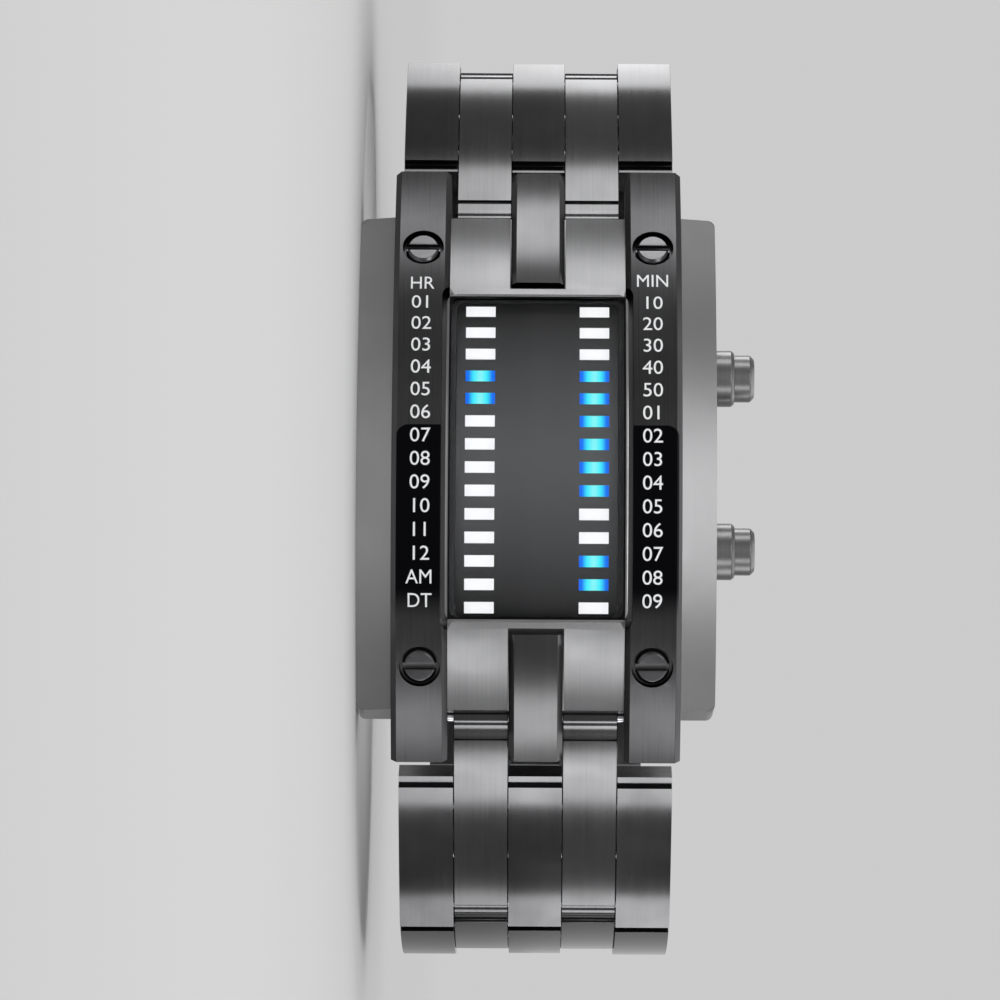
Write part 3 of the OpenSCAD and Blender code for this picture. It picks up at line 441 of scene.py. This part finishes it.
def eased_copy(node, radius):
    """A part with its sharp edges rounded: faces in one plane are joined, then each edge sharper than the
    angle is replaced by an arc of the given radius."""
    mesh = NODES[node].data.copy()
    work = bmesh.new()
    work.from_mesh(mesh)
    bmesh.ops.remove_doubles(work, verts=work.verts, dist=2e-6)
    bmesh.ops.dissolve_limit(work, angle_limit=math.radians(FLAT_ANGLE), verts=work.verts, edges=work.edges)
    work.to_mesh(mesh)
    work.free()
    piece = linked(node + "_eased", mesh)
    mesh.polygons.foreach_set("use_smooth", np.ones(len(mesh.polygons), bool))
    bevel = piece.modifiers.new("eased_edges", "BEVEL")
    bevel.width = radius
    bevel.segments = 2
    bevel.limit_method = "ANGLE"
    bevel.angle_limit = math.radians(EASE_ANGLE)
    bevel.use_clamp_overlap = True
    bevel.miter_outer = "MITER_ARC"
    bpy.context.view_layer.update()
    shaped = shaped_mesh(piece)
    piece.modifiers.clear()
    piece.data = shaped
    shaped.set_sharp_from_angle(angle=math.radians(SHARP_ANGLE))
    flat = piece.modifiers.new("flat_faces", "WEIGHTED_NORMAL")
    flat.mode = "FACE_AREA"
    flat.weight = 100
    flat.keep_sharp = True
    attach(piece, BODY_OF[node])
    stands_for(node)
    return piece


def away_from_axis(places):
    """The unit direction in X and Y from the case's axis to each place: its offset from the axis without Z,
    divided by its length."""
    out = (places - np.array([0.0, CASE_AXIS_Y, 0.0])) * np.array([1.0, 1.0, 0.0])
    return out / np.linalg.norm(out, axis=1, keepdims=True)


def shade_as_cylinder(piece):
    """A rail's front shaded as the cylinder that it is: at each corner on a face that looks away from the case's
    axis, the normal is the direction from the axis to that corner."""
    shaped = shaped_mesh(piece)
    piece.modifiers.clear()
    piece.data = shaped
    faces, corners, points = len(shaped.polygons), len(shaped.loops), len(shaped.vertices)
    facing, centre, place = (np.empty((count, 3)) for count in (faces, faces, points))
    shaped.polygons.foreach_get("normal", facing.ravel())
    shaped.polygons.foreach_get("center", centre.ravel())
    shaped.vertices.foreach_get("co", place.ravel())
    sides, vertex = np.empty(faces, np.int32), np.empty(corners, np.int32)
    shaped.polygons.foreach_get("loop_total", sides)
    shaped.loops.foreach_get("vertex_index", vertex)
    normals = np.empty((corners, 3), np.float32)
    shaped.corner_normals.foreach_get("vector", normals.ravel())
    face = np.repeat(np.arange(faces), sides)
    front = (facing * away_from_axis(centre)).sum(axis=1) > math.cos(math.radians(ROUND_ANGLE))
    on_front = np.zeros(points, bool)
    on_front[vertex[front[face]]] = True
    outward = away_from_axis(place)[vertex]
    near = (facing[face] * outward).sum(axis=1) > math.cos(math.radians(SHARP_ANGLE))
    take = near & on_front[vertex]
    normals[take] = outward[take]
    shaped.normals_split_custom_set(normals.tolist())


for node, radius in EASED.items():
    piece = eased_copy(node, radius * MM)
    if node in ("hour_rail", "minute_rail"):
        shade_as_cylinder(piece)


# Steps along each turn of a spring and round its wire, and the wire radii from the part's side to the coil's
# centre line and from its end to the wire's centre
TURN_STEPS, WIRE_SIDES = 24, 8
SIDE_INSET, END_INSET = 3.0, 1.1


def wound_spring(node, turns, wire):
    """Round wire wound along a helix in the part's place: the centre line goes round at an even radius and rises
    evenly with the angle, and the wire is a circle about it."""
    low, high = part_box(node)
    centre = (low + high) / 2
    radius = (high.x - low.x) / 2 - SIDE_INSET * wire
    steps, sides = int(TURN_STEPS * turns) + 1, WIRE_SIDES
    turn = np.linspace(0.0, 2.0 * math.pi * turns, steps)[:, None]
    rise = np.linspace(low.z + END_INSET * wire, high.z - END_INSET * wire, steps)[:, None]
    round_wire = np.linspace(0.0, 2.0 * math.pi, sides, endpoint=False)[None, :]
    reach = radius + wire * np.cos(round_wire)
    points = np.stack([centre.x + reach * np.cos(turn), centre.y + reach * np.sin(turn),
                       rise + wire * np.sin(round_wire)], axis=-1).reshape(-1, 3)
    step, side = np.meshgrid(np.arange(steps - 1), np.arange(sides), indexing="ij")
    first, beside = step * sides + side, step * sides + (side + 1) % sides
    faces = np.stack([first, beside, beside + sides, first + sides], axis=-1).reshape(-1, 4).tolist()
    faces += [list(range(sides))[::-1], list(range((steps - 1) * sides, steps * sides))]
    mesh = bpy.data.meshes.new(node + "_coil")
    mesh.from_pydata(points.tolist(), [], faces)
    mesh.polygons.foreach_set("use_smooth", np.ones(len(mesh.polygons), bool))
    mesh.materials.append(PIN_STEEL)
    piece = linked(node + "_coil", mesh)
    work = bmesh.new()
    work.from_mesh(mesh)
    bmesh.ops.recalc_face_normals(work, faces=work.faces)
    work.to_mesh(mesh)
    work.free()
    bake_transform(piece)
    stands_for(node)


for end in ("upper", "lower"):
    wound_spring(f"{end}_pusher_spring", 2.0, 0.1 * MM)
for end in ("left", "right"):
    wound_spring(f"{end}_button_spring", 3.0, 0.07 * MM)


# Marks printed on the rails: degrees from one to the next and of the whole column's shift, the height, the widths
# of digits and letters against the built-in ones, and the film's thickness
MARK_STEP = 2.557
MARK_SHIFT = -0.05
MARK_HEIGHT = 1.93 * MM
DIGIT_WIDTH = 1.04
LETTER_WIDTH = 0.92
PRINT_DEPTH = 0.02 * MM
HOUR_MARKS = [f"{n:02d}" for n in range(1, 13)] + ["AM", "DT"]
MINUTE_MARKS = [f"{n * 10}" for n in range(1, 6)] + [f"{n:02d}" for n in range(1, 10)]

# Angle of each title in degrees from the middle of the rail, and each column's place across the watch
HOUR_TITLE_TURN = -19.03
MINUTE_TITLE_TURN = -19.41
HOUR_MARKS_Z = MID_Z - 11.0 * MM
MINUTE_MARKS_Z = MID_Z + 10.9 * MM


def flat_word(words, height):
    """Points and faces of a word drawn flat about its middle in the plain built-in letters: x along it, y up."""
    curve = bpy.data.curves.new("word", "FONT")
    curve.body = words
    curve.size = height
    curve.align_x = "CENTER"
    curve.align_y = "CENTER"
    curve.resolution_u = 4
    drawn = linked("word", curve)
    bpy.context.view_layer.update()
    mesh = shaped_mesh(drawn)
    points = np.empty(len(mesh.vertices) * 3)
    mesh.vertices.foreach_get("co", points)
    faces = [tuple(p.vertices) for p in mesh.polygons]
    bpy.data.objects.remove(drawn)
    return points.reshape(-1, 3) * (DIGIT_WIDTH if words.isdigit() else LETTER_WIDTH, 1.0, 1.0), faces


def on_rail(flat, turn, across, lift):
    """Wraps flat points round the case's axis: a height y becomes an arc of that length at the rail's surface,
    and x runs along the axis."""
    radius = CASE_RADIUS + lift
    angle = math.radians(turn) - flat[:, 1] / CASE_RADIUS
    return np.column_stack([radius * np.sin(angle), CASE_AXIS_Y - radius * np.cos(angle), across + flat[:, 0]])


def printed_marks(name, title, marks, title_turn, across):
    """One column of printed marks with its title: each word is a thin raised film on the rail."""
    middle = (len(marks) - 1) / 2
    turns = [title_turn] + [MARK_SHIFT + (i - middle) * MARK_STEP for i in range(len(marks))]
    points, faces, count = [], [], 0
    for words, turn in zip([title] + marks, turns):
        flat, shape = flat_word(words, MARK_HEIGHT)
        points.append(on_rail(flat, turn, across, PRINT_DEPTH))
        faces += [tuple(v + count for v in face) for face in shape]
        count += len(flat)
    mesh = bpy.data.meshes.new(name)
    mesh.from_pydata(np.vstack(points).tolist(), [], faces)
    mesh.update()
    piece = linked(name, mesh)
    work = bmesh.new()
    work.from_mesh(mesh)
    bmesh.ops.remove_doubles(work, verts=work.verts, dist=1e-6)
    bmesh.ops.recalc_face_normals(work, faces=work.faces)
    if sum(face.normal.y * face.calc_area() for face in work.faces) > 0:
        bmesh.ops.reverse_faces(work, faces=work.faces)
    work.to_mesh(mesh)
    work.free()
    film = piece.modifiers.new("film", "SOLIDIFY")
    film.thickness = PRINT_DEPTH
    film.offset = -1.0
    mesh.materials.append(PRINT)
    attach(piece, "case")


printed_marks("hour_marks", "HR", HOUR_MARKS, HOUR_TITLE_TURN, HOUR_MARKS_Z)
printed_marks("minute_marks", "MIN", MINUTE_MARKS, MINUTE_TITLE_TURN, MINUTE_MARKS_Z)


# Floor, light and camera

# The backdrop's tone, the light that reaches the watch from all round, and the floor's own tones
BACKDROP = (0.60, 0.60, 0.60)
WORLD_TONE = (0.42, 0.42, 0.42)
FLOOR_TONES = (0.47, 0.47, 0.47), (0.49, 0.49, 0.49)

# The floor's size, its gap under the watch, and how far from the watch it turns into the backdrop
FLOOR_HALF = 12.0
FLOOR_DROP = 0.02 * MM
FLOOR_FADE = (0.10, 0.45)

# The floor as metal mirrors it, a painted pool of light: it goes from the near to the far tone over these distances,
# with a gloss of this IOR
LIGHT_POOL_FADE = (2.0 * MM, 40.0 * MM)
LIGHT_POOL_TONES = (1.0, 1.0, 1.0), (0.30, 0.30, 0.30)
FLOOR_IOR = 1.8


def stage_floor():
    """A wide flat floor under the watch, whose far parts turn into the plain tone of the backdrop. To metal it glows
    as a painted pool of light, brightest near the watch.
    """
    corners = [(x * FLOOR_HALF, y * FLOOR_HALF, 0.0) for x, y in ((-1, -1), (1, -1), (1, 1), (-1, 1))]
    mesh = bpy.data.meshes.new("floor")
    mesh.from_pydata(corners, [], [(0, 1, 2, 3)])
    floor = linked("floor", mesh)
    material, tree, surface, place = shader("pale_floor")
    clouds = stretched_noise(tree, place, 6.0, EVEN)
    tree.links.new(mixed(tree, clouds, *FLOOR_TONES), surface.inputs["Base Color"])
    surface.inputs["Roughness"].default_value = 0.9
    surface.inputs["Specular IOR Level"].default_value = 0.1
    reach = add(tree, "ShaderNodeVectorMath", {"operation": "LENGTH"}, i0=place).outputs["Value"]
    mirrored = add(tree, "ShaderNodeLightPath").outputs["Is Glossy Ray"]
    off = sums(tree, "ABSOLUTE", axis_of(tree, place, 0))
    # Painted pool of light: in reflections the floor glows, white near the watch and dimmer further out.
    mirrored_light_pool = mixed(tree, ramp_between(tree, off, *LIGHT_POOL_FADE), *LIGHT_POOL_TONES)
    far = sums(tree, "MAXIMUM", ramp_between(tree, reach, *FLOOR_FADE), mirrored)
    plain = add(tree, "ShaderNodeEmission", Color=mixed(tree, mirrored, BACKDROP, mirrored_light_pool))
    blend = add(tree, "ShaderNodeMixShader", Fac=far)
    tree.links.new(surface.outputs[0], blend.inputs[1])
    tree.links.new(plain.outputs[0], blend.inputs[2])
    polish = add(tree, "ShaderNodeBsdfGlossy", Roughness=0.1)
    sheen = sums(tree, "MULTIPLY", add(tree, "ShaderNodeFresnel", IOR=FLOOR_IOR).outputs[0], mirrored)
    finish = add(tree, "ShaderNodeMixShader", Fac=sheen)
    tree.links.new(blend.outputs[0], finish.inputs[1])
    tree.links.new(polish.outputs[0], finish.inputs[2])
    tree.links.new(finish.outputs[0], tree.nodes["Material Output"].inputs["Surface"])
    mesh.materials.append(material)
    floor.location.z = -FLOOR_DROP


def pale_world():
    """Even light from all round. The eye, metal and glass see the plain tone of the backdrop."""
    world = bpy.data.worlds.new("pale_world")
    bpy.context.scene.world = world
    world.use_nodes = True
    tree = world.node_tree
    back = tree.nodes["Background"]
    path = add(tree, "ShaderNodeLightPath").outputs
    seen = sums(tree, "MAXIMUM", path["Is Camera Ray"], path["Is Glossy Ray"])
    seen = sums(tree, "MAXIMUM", seen, path["Is Transmission Ray"])
    tree.links.new(mixed(tree, seen, WORLD_TONE, BACKDROP), back.inputs["Color"])


# Each lamp's angles in degrees, from the face's direction towards 6 o'clock and above the floor's plane, its
# distance, width and depth in metres, and its power in watts
LAMPS = (
    ("twelve_light", -67.0, 7.0, 0.55, 0.16, 0.20, 0.76),
    ("six_light", 55.0, 7.0, 0.60, 0.14, 0.20, 0.66),
    ("twelve_rim_light", -114.5, 3.0, 0.80, 0.34, 0.16, 1.3),
    ("six_rim_light", 99.0, 3.0, 0.80, 0.36, 0.16, 1.15),
    ("top_light", 150.0, 70.0, 1.10, 1.30, 1.30, 10.0),
    ("wing_light", 2.0, 30.0, 0.60, 0.50, 0.24, 1.7),
)


def soft_light(name, turn, height, distance, width, depth, power):
    """A rectangular lamp that faces the watch."""
    lamp = bpy.data.lights.new(name, "AREA")
    lamp.shape = "RECTANGLE"
    lamp.size = width
    lamp.size_y = depth
    lamp.energy = power
    holder = linked(name, lamp)
    turn, height = math.radians(turn), math.radians(height)
    way = Vector((math.sin(turn) * math.cos(height), -math.cos(turn) * math.cos(height), math.sin(height)))
    holder.location = Vector((0.0, FACE_Y, MID_Z)) + distance * way
    holder.rotation_euler = way.to_track_quat("Z", "Y").to_euler()
    holder.visible_camera = False


# The camera's angles in degrees, its distance, its lens and sensor in millimetres, its shift and its clipping
CAMERA_TILT = 10.0
CAMERA_ROLL = 0.3
CAMERA_DISTANCE = 480.0 * MM
CAMERA_LENS = 184.0
CAMERA_SENSOR = 36.0
CAMERA_SHIFT = (-0.037, -0.052)
CAMERA_CLIP = (0.01, 50.0)


def photo_camera():
    """Looks at the face square across the watch, tilted towards 6 o'clock, with 12 o'clock up."""
    data = bpy.data.cameras.new("photo_camera")
    data.lens = CAMERA_LENS
    data.sensor_width = CAMERA_SENSOR
    data.shift_x, data.shift_y = CAMERA_SHIFT
    data.clip_start, data.clip_end = CAMERA_CLIP
    camera = linked("photo_camera", data)
    tilt = math.radians(CAMERA_TILT)
    back = Vector((math.sin(tilt), -math.cos(tilt), 0.0))
    right = Vector((0.0, 0.0, 1.0))
    up = back.cross(right)
    turn = Matrix((right, up, back)).transposed() @ Matrix.Rotation(math.radians(CAMERA_ROLL), 3, "Z")
    place = Vector((0.0, FACE_Y, MID_Z)) + CAMERA_DISTANCE * back
    camera.matrix_world = Matrix.Translation(place) @ turn.to_4x4()
    bpy.context.scene.camera = camera


stage_floor()
pale_world()
for lamp in LAMPS:
    soft_light(*lamp)
photo_camera()
bpy.context.scene.view_settings.view_transform = "Standard"
